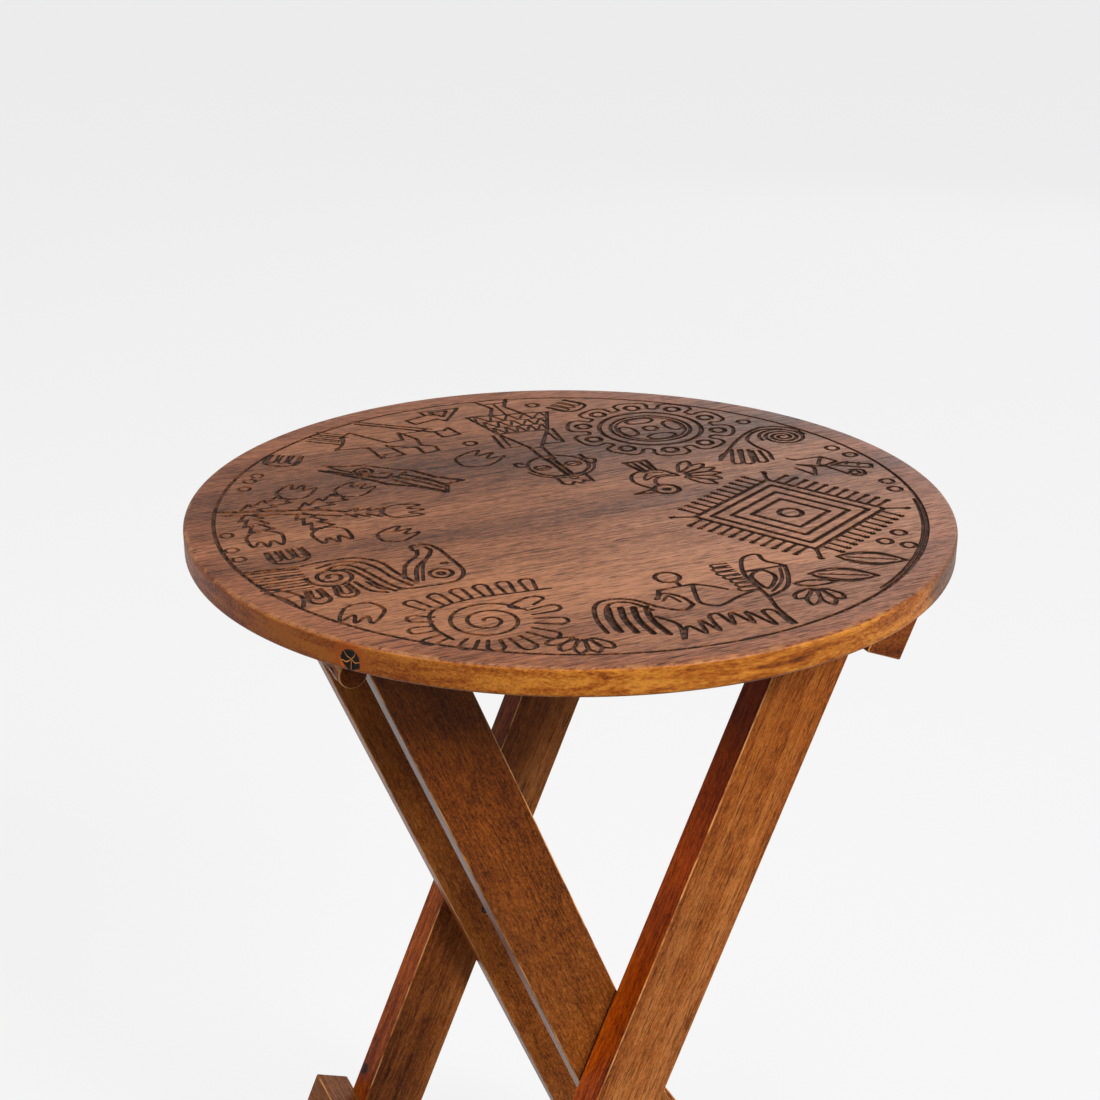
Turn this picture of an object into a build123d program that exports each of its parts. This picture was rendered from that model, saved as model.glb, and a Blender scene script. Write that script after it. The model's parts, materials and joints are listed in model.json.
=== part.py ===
"""Folding side table: a round carved top on two nested X-frames.

The row frame is millimetres, Z up. X is the way the legs spread, Y runs along
the scissor pivots, and the origin is on the floor under the middle of the top.
The inner frame's feet stand at +X and its heads carry the hinge rod at -X.
The outer frame's feet stand at -X and its upper rail carries the top at +X.
"""

import os
from math import cos, radians, sin, tan

from build123d import *

os.makedirs("parts", exist_ok=True)

# ---- driving dimensions -------------------------------------------------------
table_height = 566.0
top_diameter = 400.0
top_thickness = 14.5
top_edge_round = 2.0
border_groove_radius = 184.5
border_groove_width = 2.3
border_groove_depth = 1.0

lean_angle = 22.5            # each leg's angle from upright
pivot_x = -16.6              # where the two frames cross
leg_width = 40.0
leg_thickness = 20.0
edge_round = 1.0             # eased arrises of the legs and rails
outer_frame_width = 234.0    # over the outer legs' faces
frame_gap = 1.0              # between an outer leg and the inner leg beside it
top_gap = 0.4                # between the leg heads and the underside of the top

rail_width = 40.0
rail_thickness = 22.0
rail_overhang = 12.0         # how far a rail runs past the legs that it joins
lower_rail_drop = 178.0      # along the leg, from the pivot to a lower rail's middle

rod_diameter = 14.0
rod_seat_depth = 0.5         # how deep the rod is let into the leg heads
rod_drop = 12.5              # from the underside of the top to the rod's axis
rod_clearance = 0.06         # radial, in the hinge blocks

block_length = 32.0          # hinge block, along X
block_thickness = 18.0       # hinge block, along Y
block_height = 23.5
block_round = 7.0
block_screw_margin = 5.5     # from a screw's middle to the block's end
block_y = 28.0               # middle of each hinge block from the table's middle

cleat_length = 120.0
cleat_width = 18.0
cleat_height = 16.0
cleat_screw_margin = 15.0    # from an outer screw's middle to the cleat's end
cleat_gap = 0.5              # between the cleat and the upper rail

pivot_shank_radius = 2.5
pivot_clearance = 0.05       # radial, in the inner legs
pivot_head_radius = 4.4
pivot_head_height = 2.4
pivot_head_round = 0.6
pivot_bore_radius = 4.9      # counterbore that hides the head
pivot_bore_depth = 3.2
pivot_head_gap = 0.2
pivot_grip = 15.0            # length of screw in the outer leg
washer_radius = 8.0
washer_thickness = 0.8

rail_screw_radius = 2.0
rail_screw_head_radius = 4.0
rail_screw_head_height = 3.0
rail_screw_grip = 24.0       # length of screw in the leg
rail_screw_pitch = 18.0      # between the two screws at each joint
upper_rail_screw_drop = 4.0  # keeps the upper rail's screws inside the leg heads
plug_radius = 4.8
plug_depth = 5.0
plug_proud = 0.3

small_screw_radius = 1.75
small_screw_head_radius = 3.5
small_screw_head_height = 2.4
small_screw_grip = 9.0       # length of screw in the top
rod_screw_grip = 16.0        # length of screw in the leg head
screw_head_rim = 0.4         # height of a countersunk head's straight edge
slot_width = 0.9
slot_depth = 1.1
screw_clearance = 0.1        # radial, where a screw passes through a piece

# ---- places worked out from them ---------------------------------------------
lean = radians(lean_angle)
underside = table_height - top_thickness
leg_top = underside - top_gap
pivot_z = underside / 2
outer_face = outer_frame_width / 2
outer_leg_y = outer_face - leg_thickness / 2
inner_face = outer_face - leg_thickness - frame_gap
inner_leg_y = inner_face - leg_thickness / 2
rod_radius = rod_diameter / 2
half_leg = leg_width / 2
half_rail = rail_width / 2

INNER = 1                    # the inner legs' feet are towards +X
OUTER = -1                   # the outer legs' feet are towards -X
sides = (("near", -1), ("far", 1))


def down_leg(frame):
    """Unit vector along a leg of that frame, towards its foot."""
    return Vector(frame * sin(lean), 0, -cos(lean))


def across_leg(frame):
    """Unit vector across a leg's width, towards +X."""
    return Vector(cos(lean), 0, frame * sin(lean))


def edge_plane(frame, along, face):
    """Plane on a leg's narrow face: face is 1 on its +X side and -1 on its -X side.

    along is measured down the leg from the pivot. The plane's x runs along Y,
    its y runs along the leg, and its z leaves the wood.
    """
    normal = across_leg(frame) * face
    middle = Vector(pivot_x, 0, pivot_z) + down_leg(frame) * along + normal * half_leg
    return Plane(origin=middle, x_dir=(0, 1, 0), z_dir=normal)


def wide_plane(y):
    """Upright plane at that y, with x along X and y along Z; its normal is -Y."""
    return Plane.XZ.offset(-y)


def leg_corners(frame):
    """Outline of a leg: level at the floor and level under the top."""
    half = half_leg / cos(lean)
    foot = pivot_x + frame * pivot_z * tan(lean)
    head = pivot_x - frame * (leg_top - pivot_z) * tan(lean)
    return [(foot - half, 0), (foot + half, 0), (head + half, leg_top), (head - half, leg_top)]


rod_offset = half_leg + rod_radius - rod_seat_depth
rod_z = underside - rod_drop
rod_along = (pivot_z - rod_offset * sin(lean) - rod_z) / cos(lean)
rod_x = pivot_x + rod_along * sin(lean) - rod_offset * cos(lean)

# the upper rail's top inner corner comes just under the top
upper_rail_middle = half_rail - (leg_top - pivot_z + half_leg * sin(lean)) / cos(lean)
upper_rail_reach = half_leg + rail_thickness
upper_rail_corner = (
    pivot_x
    + (half_rail - upper_rail_middle) * sin(lean)
    + upper_rail_reach * cos(lean)
)
cleat_x = upper_rail_corner + cleat_gap + cleat_width / 2

outer_rail_length = outer_frame_width + 2 * rail_overhang
inner_rail_length = 2 * (inner_face + rail_overhang)

# name, frame, middle of the rail, middle of its screws, side of the leg, length, legs' y;
# both middles are distances down the leg
rails = (
    (
        "outer_upper_rail",
        OUTER,
        upper_rail_middle,
        upper_rail_middle + upper_rail_screw_drop,
        1,
        outer_rail_length,
        outer_leg_y,
    ),
    (
        "outer_lower_rail",
        OUTER,
        lower_rail_drop,
        lower_rail_drop,
        -1,
        outer_rail_length,
        outer_leg_y,
    ),
    (
        "inner_lower_rail",
        INNER,
        lower_rail_drop,
        lower_rail_drop,
        1,
        inner_rail_length,
        inner_leg_y,
    ),
)


def rail_screw_places(frame, along, face, leg_y, lift):
    """Two screws at each end of a rail, lift above the leg's narrow face."""
    plane = edge_plane(frame, along, face).offset(lift)
    places = []
    for y in (-leg_y, leg_y):
        for step in (-rail_screw_pitch / 2, rail_screw_pitch / 2):
            places.append(plane * Location((y, step, 0)))
    return places


# ---- fasteners: each is made head down at the origin, its point along -Z --------
def wood_screw(radius, head_radius, head_height, length, slotted):
    """Countersunk wood screw with its flat head at z = 0."""
    tip = 2 * radius
    with BuildPart() as screw:
        with BuildSketch(Plane.XZ):
            with BuildLine():
                Polyline(
                    (0, 0),
                    (head_radius, 0),
                    (head_radius, -screw_head_rim),
                    (radius, -head_height),
                    (radius, -length + tip),
                    (0, -length),
                    close=True,
                )
            make_face()
        revolve(axis=Axis.Z)
        if slotted:
            with BuildSketch(Plane.XY):
                Rectangle(2 * head_radius, slot_width)
            extrude(amount=-slot_depth, mode=Mode.SUBTRACT)
    return screw.part


def screw_recess(radius, head_radius, head_height, length):
    """The countersunk clearance hole that such a screw passes through."""
    return wood_screw(
        radius + screw_clearance,
        head_radius + screw_clearance,
        head_height,
        length,
        slotted=False,
    )


small_recess = screw_recess(
    small_screw_radius,
    small_screw_head_radius,
    small_screw_head_height,
    2 * block_height,
)
rail_recess = screw_recess(
    rail_screw_radius,
    rail_screw_head_radius,
    rail_screw_head_height,
    2 * rail_thickness,
)
under_block = Plane((rod_x, 0, underside - block_height), z_dir=(0, 0, -1))
under_cleat = Plane((cleat_x, 0, underside - cleat_height), z_dir=(0, 0, -1))
rod_front = edge_plane(INNER, rod_along, -1).offset(rod_diameter - rod_seat_depth)
block_screw_pitch = block_length - 2 * block_screw_margin
cleat_screw_pitch = (cleat_length - 2 * cleat_screw_margin) / 2


# ---- the top --------------------------------------------------------------------
with BuildPart() as tabletop:
    with BuildSketch(Plane.XY.offset(underside)):
        Circle(top_diameter / 2)
    extrude(amount=top_thickness)
    fillet(tabletop.edges().group_by(Axis.Z)[-1], radius=top_edge_round)
    fillet(tabletop.edges().group_by(Axis.Z)[0], radius=edge_round)
    with BuildSketch(Plane.XY.offset(table_height)):
        Circle(border_groove_radius + border_groove_width / 2)
        Circle(border_groove_radius - border_groove_width / 2, mode=Mode.SUBTRACT)
    extrude(amount=-border_groove_depth, mode=Mode.SUBTRACT)
    # pilot holes for the hinge block and cleat screws
    with BuildSketch(Plane.XY.offset(underside)):
        with Locations((rod_x, 0)):
            with GridLocations(block_screw_pitch, 2 * block_y, 2, 2):
                Circle(small_screw_radius)
        with Locations((cleat_x, 0)):
            with GridLocations(0, cleat_screw_pitch, 1, 3):
                Circle(small_screw_radius)
    extrude(amount=small_screw_grip, mode=Mode.SUBTRACT)
tabletop.part.label = "tabletop"
export_step(tabletop.part, "parts/tabletop.step")

# hinge blocks: they hang from the top and turn on the rod
for side, sign in sides:
    with BuildPart() as hinge_block:
        with BuildSketch(wide_plane(sign * block_y - block_thickness / 2)) as outline:
            with Locations((rod_x, underside - block_height / 2)):
                Rectangle(block_length, block_height)
            fillet(outline.vertices().group_by(Axis.Z)[0], radius=block_round)
            with Locations((rod_x, rod_z)):
                Circle(rod_radius + rod_clearance, mode=Mode.SUBTRACT)
        extrude(amount=-block_thickness)
        with Locations(under_block):
            with GridLocations(block_screw_pitch, 2 * block_y, 2, 2):
                add(small_recess, mode=Mode.SUBTRACT)
    hinge_block.part.label = f"hinge_block_{side}"
    export_step(hinge_block.part, f"parts/hinge_block_{side}.step")

# stop cleat: it catches the upper rail, so the legs can't spread further
with BuildPart() as stop_cleat:
    with BuildSketch(Plane.XY.offset(underside - cleat_height)):
        with Locations((cleat_x, 0)):
            Rectangle(cleat_width, cleat_length)
    extrude(amount=cleat_height)
    fillet(stop_cleat.edges().group_by(Axis.Z)[0], radius=2 * edge_round)
    with Locations(under_cleat):
        with GridLocations(0, cleat_screw_pitch, 1, 3):
            add(small_recess, mode=Mode.SUBTRACT)
stop_cleat.part.label = "stop_cleat"
export_step(stop_cleat.part, "parts/stop_cleat.step")

block_screw = wood_screw(
    small_screw_radius,
    small_screw_head_radius,
    small_screw_head_height,
    block_height + small_screw_grip,
    slotted=True,
)
with BuildPart() as hinge_block_screws:
    with Locations(under_block):
        with GridLocations(block_screw_pitch, 2 * block_y, 2, 2):
            add(block_screw)
hinge_block_screws.part.label = "hinge_block_screws"
export_step(hinge_block_screws.part, "parts/hinge_block_screws.step")

cleat_screw = wood_screw(
    small_screw_radius,
    small_screw_head_radius,
    small_screw_head_height,
    cleat_height + small_screw_grip,
    slotted=True,
)
with BuildPart() as stop_cleat_screws:
    with Locations(under_cleat):
        with GridLocations(0, cleat_screw_pitch, 1, 3):
            add(cleat_screw)
stop_cleat_screws.part.label = "stop_cleat_screws"
export_step(stop_cleat_screws.part, "parts/stop_cleat_screws.step")

# ---- the inner frame ------------------------------------------------------------
for side, sign in sides:
    with BuildPart() as inner_leg:
        with BuildSketch(wide_plane(sign * inner_leg_y - leg_thickness / 2)):
            Polygon(*leg_corners(INNER), align=None)
        extrude(amount=-leg_thickness)
        fillet(inner_leg.edges().filter_by(lambda e: e.length > table_height), radius=edge_round)
        # seat for the rod
        with BuildSketch(wide_plane(sign * inner_leg_y - leg_thickness / 2)):
            with Locations((rod_x, rod_z)):
                Circle(rod_radius)
        extrude(amount=-leg_thickness, mode=Mode.SUBTRACT)
        # pivot bore, with a counterbore from the inside of the frame
        with BuildSketch(wide_plane(sign * inner_leg_y - leg_thickness / 2)):
            with Locations((pivot_x, pivot_z)):
                Circle(pivot_shank_radius + pivot_clearance)
        extrude(amount=-leg_thickness, mode=Mode.SUBTRACT)
        with BuildSketch(wide_plane(sign * (inner_leg_y - leg_thickness / 2))):
            with Locations((pivot_x, pivot_z)):
                Circle(pivot_bore_radius)
        extrude(amount=-sign * pivot_bore_depth, mode=Mode.SUBTRACT)
        # pilot holes for the rail and rod screws
        for name, frame, along, screw_along, face, length, leg_y in rails:
            if frame == INNER:
                with Locations(*rail_screw_places(frame, screw_along, face, leg_y, 0)):
                    Hole(rail_screw_radius, rail_screw_grip)
        with Locations(edge_plane(INNER, rod_along, -1) * Location((sign * inner_leg_y, 0, 0))):
            Hole(small_screw_radius, rod_screw_grip)
    inner_leg.part.label = f"inner_leg_{side}"
    export_step(inner_leg.part, f"parts/inner_leg_{side}.step")

with BuildPart() as hinge_rod:
    with BuildSketch(wide_plane(-inner_face)):
        with Locations((rod_x, rod_z)):
            Circle(rod_radius)
    extrude(amount=-2 * inner_face)
    fillet(hinge_rod.edges().filter_by(GeomType.CIRCLE), radius=edge_round)
    with Locations(rod_front):
        with GridLocations(2 * inner_leg_y, 0, 2, 1):
            add(small_recess, mode=Mode.SUBTRACT)
hinge_rod.part.label = "hinge_rod"
export_step(hinge_rod.part, "parts/hinge_rod.step")

rod_screw = wood_screw(
    small_screw_radius,
    small_screw_head_radius,
    small_screw_head_height,
    rod_diameter + rod_screw_grip - rod_seat_depth,
    slotted=True,
)
with BuildPart() as rod_screws:
    with Locations(rod_front):
        with GridLocations(2 * inner_leg_y, 0, 2, 1):
            add(rod_screw)
rod_screws.part.label = "rod_screws"
export_step(rod_screws.part, "parts/rod_screws.step")

# ---- the outer frame ------------------------------------------------------------
for side, sign in sides:
    with BuildPart() as outer_leg:
        with BuildSketch(wide_plane(sign * outer_leg_y - leg_thickness / 2)):
            Polygon(*leg_corners(OUTER), align=None)
        extrude(amount=-leg_thickness)
        fillet(outer_leg.edges().filter_by(lambda e: e.length > table_height), radius=edge_round)
        # blind bore for the pivot screw, from the inside of the frame
        with BuildSketch(wide_plane(sign * (outer_leg_y - leg_thickness / 2))):
            with Locations((pivot_x, pivot_z)):
                Circle(pivot_shank_radius)
        extrude(amount=-sign * pivot_grip, mode=Mode.SUBTRACT)
        # pilot holes for the rail screws
        for name, frame, along, screw_along, face, length, leg_y in rails:
            if frame == OUTER:
                with Locations(*rail_screw_places(frame, screw_along, face, leg_y, 0)):
                    Hole(rail_screw_radius, rail_screw_grip)
    outer_leg.part.label = f"outer_leg_{side}"
    export_step(outer_leg.part, f"parts/outer_leg_{side}.step")

# ---- rails of both frames, with their screws and the plugs that cover them ----------
rail_screw = wood_screw(
    rail_screw_radius,
    rail_screw_head_radius,
    rail_screw_head_height,
    rail_thickness - plug_depth + rail_screw_grip,
    slotted=False,
)
for name, frame, along, screw_along, face, length, leg_y in rails:
    outer_surface = rail_screw_places(frame, screw_along, face, leg_y, rail_thickness)
    plug_floor = rail_screw_places(frame, screw_along, face, leg_y, rail_thickness - plug_depth)
    with BuildPart() as rail:
        with BuildSketch(edge_plane(frame, along, face)):
            Rectangle(length, rail_width)
        extrude(amount=rail_thickness)
        fillet(rail.edges(), radius=edge_round)
        with Locations(*outer_surface):
            Hole(plug_radius, plug_depth)
        with Locations(*plug_floor):
            add(rail_recess, mode=Mode.SUBTRACT)
    rail.part.label = name
    export_step(rail.part, f"parts/{name}.step")

    with BuildPart() as rail_screws:
        with Locations(*plug_floor):
            add(rail_screw)
    rail_screws.part.label = f"{name}_screws"
    export_step(rail_screws.part, f"parts/{name}_screws.step")

    with BuildPart() as rail_plugs:
        with Locations(*plug_floor):
            Cylinder(
                plug_radius,
                plug_depth + plug_proud,
                align=(Align.CENTER, Align.CENTER, Align.MIN),
            )
    rail_plugs.part.label = f"{name}_plugs"
    export_step(rail_plugs.part, f"parts/{name}_plugs.step")

# ---- the scissor pivots -----------------------------------------------------------
head_seat = inner_face - leg_thickness + pivot_bore_depth - pivot_head_gap
head_face = head_seat - pivot_head_height
pivot_tip = outer_face - leg_thickness + pivot_grip
with BuildPart() as pivot_screws:
    for side, sign in sides:
        with BuildSketch(wide_plane(sign * pivot_tip)):
            with Locations((pivot_x, pivot_z)):
                Circle(pivot_shank_radius)
        extrude(amount=sign * (pivot_tip - head_seat))
        with BuildSketch(wide_plane(sign * head_seat)):
            with Locations((pivot_x, pivot_z)):
                Circle(pivot_head_radius)
        extrude(amount=sign * pivot_head_height)
    fillet(
        pivot_screws.edges().filter_by(lambda e: abs(e.center().Y) < head_face + pivot_head_height / 4),
        radius=pivot_head_round,
    )
    for side, sign in sides:
        with Locations((pivot_x, sign * head_face, pivot_z)):
            Box(2 * pivot_head_radius, 2 * slot_depth, slot_width, mode=Mode.SUBTRACT)
pivot_screws.part.label = "pivot_screws"
export_step(pivot_screws.part, "parts/pivot_screws.step")

with BuildPart() as pivot_washers:
    for side, sign in sides:
        with BuildSketch(wide_plane(sign * (outer_face - leg_thickness))):
            with Locations((pivot_x, pivot_z)):
                Circle(washer_radius)
                Circle(pivot_shank_radius, mode=Mode.SUBTRACT)
        extrude(amount=sign * washer_thickness)
pivot_washers.part.label = "pivot_washers"
export_step(pivot_washers.part, "parts/pivot_washers.step")
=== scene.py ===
"""Looks of the folding side table: carved top, oiled hardwood, worn edges, dark screws.

Everything is in metres in the row frame: X is the way the legs spread, Y runs along
the pivots, Z is up and the origin is on the floor under the middle of the top.
The carving is laid out in millimetres from the middle of the top.
"""

import json
from math import atan2, cos, hypot, pi, radians, sin

import bmesh
import bpy
import numpy as np
from mathutils import Matrix, Vector
from mathutils.geometry import delaunay_2d_cdt
from mathutils.kdtree import KDTree


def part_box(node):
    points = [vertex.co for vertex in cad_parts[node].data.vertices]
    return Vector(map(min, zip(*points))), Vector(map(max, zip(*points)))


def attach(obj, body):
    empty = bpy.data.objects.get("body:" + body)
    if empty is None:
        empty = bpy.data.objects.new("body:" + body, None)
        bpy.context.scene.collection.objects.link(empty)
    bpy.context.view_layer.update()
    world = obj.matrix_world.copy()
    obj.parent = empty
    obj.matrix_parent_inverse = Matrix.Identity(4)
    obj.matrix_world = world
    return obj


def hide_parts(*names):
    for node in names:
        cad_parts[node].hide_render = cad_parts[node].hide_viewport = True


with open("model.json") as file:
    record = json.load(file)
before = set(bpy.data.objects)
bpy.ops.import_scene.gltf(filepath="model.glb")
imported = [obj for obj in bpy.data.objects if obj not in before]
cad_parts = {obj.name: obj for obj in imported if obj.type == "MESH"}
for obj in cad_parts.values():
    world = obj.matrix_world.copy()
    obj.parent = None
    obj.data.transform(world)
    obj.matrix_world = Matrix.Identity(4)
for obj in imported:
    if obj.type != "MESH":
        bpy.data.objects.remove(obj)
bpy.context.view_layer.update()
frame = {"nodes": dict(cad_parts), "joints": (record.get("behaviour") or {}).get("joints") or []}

MM = 0.001
scene = bpy.context.scene

# ---- places read from the frame ---------------------------------------------------
top_low, top_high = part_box("tabletop")
TOP_Z = top_high.z
UNDERSIDE = top_low.z
RADIUS = round(top_high.x, 3)
joints = {joint["name"]: joint for joint in frame["joints"]}
PIVOT = Vector(joints["leg_fold"]["pos_m"])

# the legs' angle from upright; the inner and the outer ones lean opposite ways
LEAN = radians(22.5)
INNER, OUTER = 1, -1


# ---- camera, light and floor ------------------------------------------------------
def make_camera():
    """The photograph's view: from the near side, a little towards the hinge rod."""
    azimuth, elevation, roll = radians(24.9), radians(22.15), radians(0.22)
    distance, aside, below = 0.972, 0.0103, 0.0251
    right = Vector((cos(azimuth), -sin(azimuth), 0))
    level = cos(elevation)
    ahead = Vector((sin(azimuth) * level, cos(azimuth) * level, -sin(elevation)))
    up = right.cross(ahead)
    place = Vector((0, 0, TOP_Z)) - ahead * distance - right * aside - up * below
    turned_right = right * cos(roll) + up * sin(roll)
    turned_up = up * cos(roll) - right * sin(roll)
    data = bpy.data.cameras.new("camera")
    data.sensor_width = 36.0
    data.lens = 60.545
    data.clip_end = 100
    camera = bpy.data.objects.new("camera", data)
    axes = Matrix((turned_right, turned_up, -ahead)).transposed()
    camera.matrix_world = Matrix.Translation(place) @ axes.to_4x4()
    scene.collection.objects.link(camera)
    scene.camera = camera


def area_light(name, place, target, size, power):
    data = bpy.data.lights.new(name, "AREA")
    data.shape = "DISK"
    data.size = size
    data.energy = power
    lamp = bpy.data.objects.new(name, data)
    lamp.location = place
    way = Vector(target) - Vector(place)
    lamp.rotation_euler = way.to_track_quat("-Z", "Y").to_euler()
    scene.collection.objects.link(lamp)


def make_lights():
    """A soft key from the front, two fills, and a large weak light behind the table."""
    scene.view_settings.view_transform = "Standard"
    world = bpy.data.worlds.new("studio")
    scene.world = world
    world.use_nodes = True
    backdrop = world.node_tree.nodes["Background"]
    backdrop.inputs["Color"].default_value = (0.19, 0.19, 0.195, 1)
    area_light("key", (0.9, -2.3, 2.3), (0, 0, 0.4), 1.1, 118)
    area_light("left_fill", (-2.1, -0.7, 1.9), (0, 0, 0.3), 1.0, 26)
    area_light("overhead", (-0.2, 0.2, 2.4), (0, 0, 0.5), 1.5, 26)
    area_light("back", (2.5, 2.5, 1.6), (0, 0, 0.5), 2.4, 20)


def make_floor():
    """A pale paper floor that curves up into a wall far away on all sides."""
    flat_radius, bend_radius = 12, 8
    profile = [
        (flat_radius + bend_radius * sin(a), bend_radius - bend_radius * cos(a))
        for a in np.linspace(0, pi / 2, 9)
    ]
    ways = [(cos(a), sin(a)) for a in np.linspace(0, 2 * pi, 49)[:-1]]
    count = len(ways)
    verts = [(x * r, y * r, z) for r, z in profile for x, y in ways]
    faces = [tuple(range(count))]
    for low in range(0, count * (len(profile) - 1), count):
        for i in range(count):
            j = (i + 1) % count
            faces.append((low + j, low + i, low + count + i, low + count + j))
    mesh = bpy.data.meshes.new("floor")
    mesh.from_pydata(verts, [], faces)
    for face in mesh.polygons:
        face.use_smooth = face.index > 0
    mesh.materials.append(paper_material())
    floor = bpy.data.objects.new("floor", mesh)
    scene.collection.objects.link(floor)
    floor.visible_diffuse = False


def paper_material():
    material = bpy.data.materials.new("floor_paper")
    material.use_nodes = True
    paper = material.node_tree.nodes["Principled BSDF"]
    paper.inputs["Base Color"].default_value = (0.08, 0.08, 0.08, 1)
    paper.inputs["Emission Color"].default_value = (0.82, 0.82, 0.82, 1)
    paper.inputs["Emission Strength"].default_value = 1.0
    paper.inputs["Roughness"].default_value = 1.0
    paper.inputs["Specular IOR Level"].default_value = 0.0
    return material


# ---- node helpers -----------------------------------------------------------------
class Graph:
    """Builds a material's nodes: each method adds a node or a few and returns an output."""

    def __init__(self, name):
        self.material = bpy.data.materials.new(name)
        self.material.use_nodes = True
        self.tree = self.material.node_tree
        self.shader = self.tree.nodes["Principled BSDF"]

    def put(self, socket, value):
        if hasattr(value, "is_output"):
            self.tree.links.new(value, socket)
        elif isinstance(value, (tuple, list)) and socket.type == "RGBA" and len(value) == 3:
            socket.default_value = (*value, 1)
        else:
            socket.default_value = value

    def node(self, kind, inputs=(), **settings):
        node = self.tree.nodes.new(kind)
        for key, value in settings.items():
            setattr(node, key, value)
        for key, value in dict(inputs).items():
            self.put(node.inputs[key], value)
        return node

    def math(self, operation, a, b=0.0, c=0.0):
        node = self.node("ShaderNodeMath", {0: a, 1: b, 2: c}, operation=operation)
        return node.outputs[0]

    def vector(self, operation, a, b=(0, 0, 0)):
        node = self.node("ShaderNodeVectorMath", {0: a, 1: b}, operation=operation)
        return node.outputs["Value" if operation in ("DOT_PRODUCT", "LENGTH") else "Vector"]

    def join(self, x, y, z):
        return self.node("ShaderNodeCombineXYZ", {"X": x, "Y": y, "Z": z}).outputs[0]

    def split(self, vector):
        return self.node("ShaderNodeSeparateXYZ", {0: vector}).outputs

    def scaled(self, x, y, z, rates):
        """x, y and z times their own rates, as one vector."""
        return self.join(*(self.math("MULTIPLY", v, rate) for v, rate in zip((x, y, z), rates)))

    def stretch(self, along, across, through, rates, seed=0.0):
        """A board's coordinates scaled for grain: seldom along it, often across it."""
        lengthwise, crosswise = rates
        along = self.math("MULTIPLY_ADD", along, lengthwise, seed)
        across = self.math("MULTIPLY_ADD", across, crosswise, seed)
        return self.join(along, across, self.math("MULTIPLY_ADD", through, crosswise, seed))

    def noise(self, vector, scale, detail=3.0, rough=0.5, distortion=0.0):
        inputs = {"Scale": scale, "Detail": detail, "Roughness": rough, "Distortion": distortion}
        node = self.node("ShaderNodeTexNoise", inputs)
        self.put(node.inputs["Vector"], vector)
        return node.outputs["Fac"]

    def about(self, value, weight):
        """A noise value, 0.5 on average, as a plus or minus change."""
        return self.math("MULTIPLY", self.math("SUBTRACT", value, 0.5), weight)

    def span(self, value, low, high, to_low=0.0, to_high=1.0):
        """value's way from low to high, as a smooth step from to_low to to_high."""
        inputs = {"Value": value, "From Min": low, "From Max": high}
        inputs.update({"To Min": to_low, "To Max": to_high})
        node = self.node("ShaderNodeMapRange", inputs, interpolation_type="SMOOTHSTEP")
        return node.outputs["Result"]

    def mix(self, factor, a, b, blend="MIX"):
        node = self.node("ShaderNodeMix", data_type="RGBA", blend_type=blend)
        self.put(node.inputs["Factor"], factor)
        self.put(node.inputs[6], a)
        self.put(node.inputs[7], b)
        return node.outputs[2]

    def ramp(self, value, stops):
        node = self.node("ShaderNodeValToRGB", {"Fac": value})
        elements = node.color_ramp.elements
        while len(elements) < len(stops):
            elements.new(0.5)
        for element, (place, colour) in zip(elements, stops):
            element.position = place
            element.color = (*colour, 1)
        return node.outputs["Color"]

    def bump(self, height, distance, strength=1.0):
        inputs = {"Height": height, "Distance": distance, "Strength": strength}
        return self.node("ShaderNodeBump", inputs).outputs["Normal"]

    def place(self):
        return self.node("ShaderNodeTexCoord").outputs["Object"]

    def facing(self):
        """The surface's normal in the object's own axes, so that it turns with its body."""
        return self.node("ShaderNodeTexCoord").outputs["Normal"]

    def finish(self, colour, roughness, normal, metallic=0.0, specular=0.5):
        self.put(self.shader.inputs["Base Color"], colour)
        self.put(self.shader.inputs["Roughness"], roughness)
        self.put(self.shader.inputs["Normal"], normal)
        self.shader.inputs["Metallic"].default_value = metallic
        self.shader.inputs["Specular IOR Level"].default_value = specular
        return self.material

    def oil(self, coat, coat_roughness):
        """A thin coat of oil: coat is how much of it there is."""
        self.put(self.shader.inputs["Coat Weight"], coat)
        self.shader.inputs["Coat Roughness"].default_value = coat_roughness


# ---- wood -------------------------------------------------------------------------
def ring_reach(g, along, across, through, seed, pith):
    """How far each place is from the tree's middle, which wanders along the board."""
    wander = g.noise(g.join(g.math("MULTIPLY", along, 3.2), seed, 0.0), 1.0, 2.0)
    sway = g.about(wander, 0.055)
    a = g.math("ADD", g.math("SUBTRACT", across, pith[0]), sway)
    b = g.math("SUBTRACT", through, pith[1])
    reach = g.math("SQRT", g.math("ADD", g.math("MULTIPLY", a, a), g.math("MULTIPLY", b, b)))
    ripple = g.noise(g.stretch(along, across, through, (5.0, 42.0), seed), 1.0, 3.0)
    return g.math("ADD", reach, g.math("MULTIPLY", ripple, 0.012))


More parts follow.
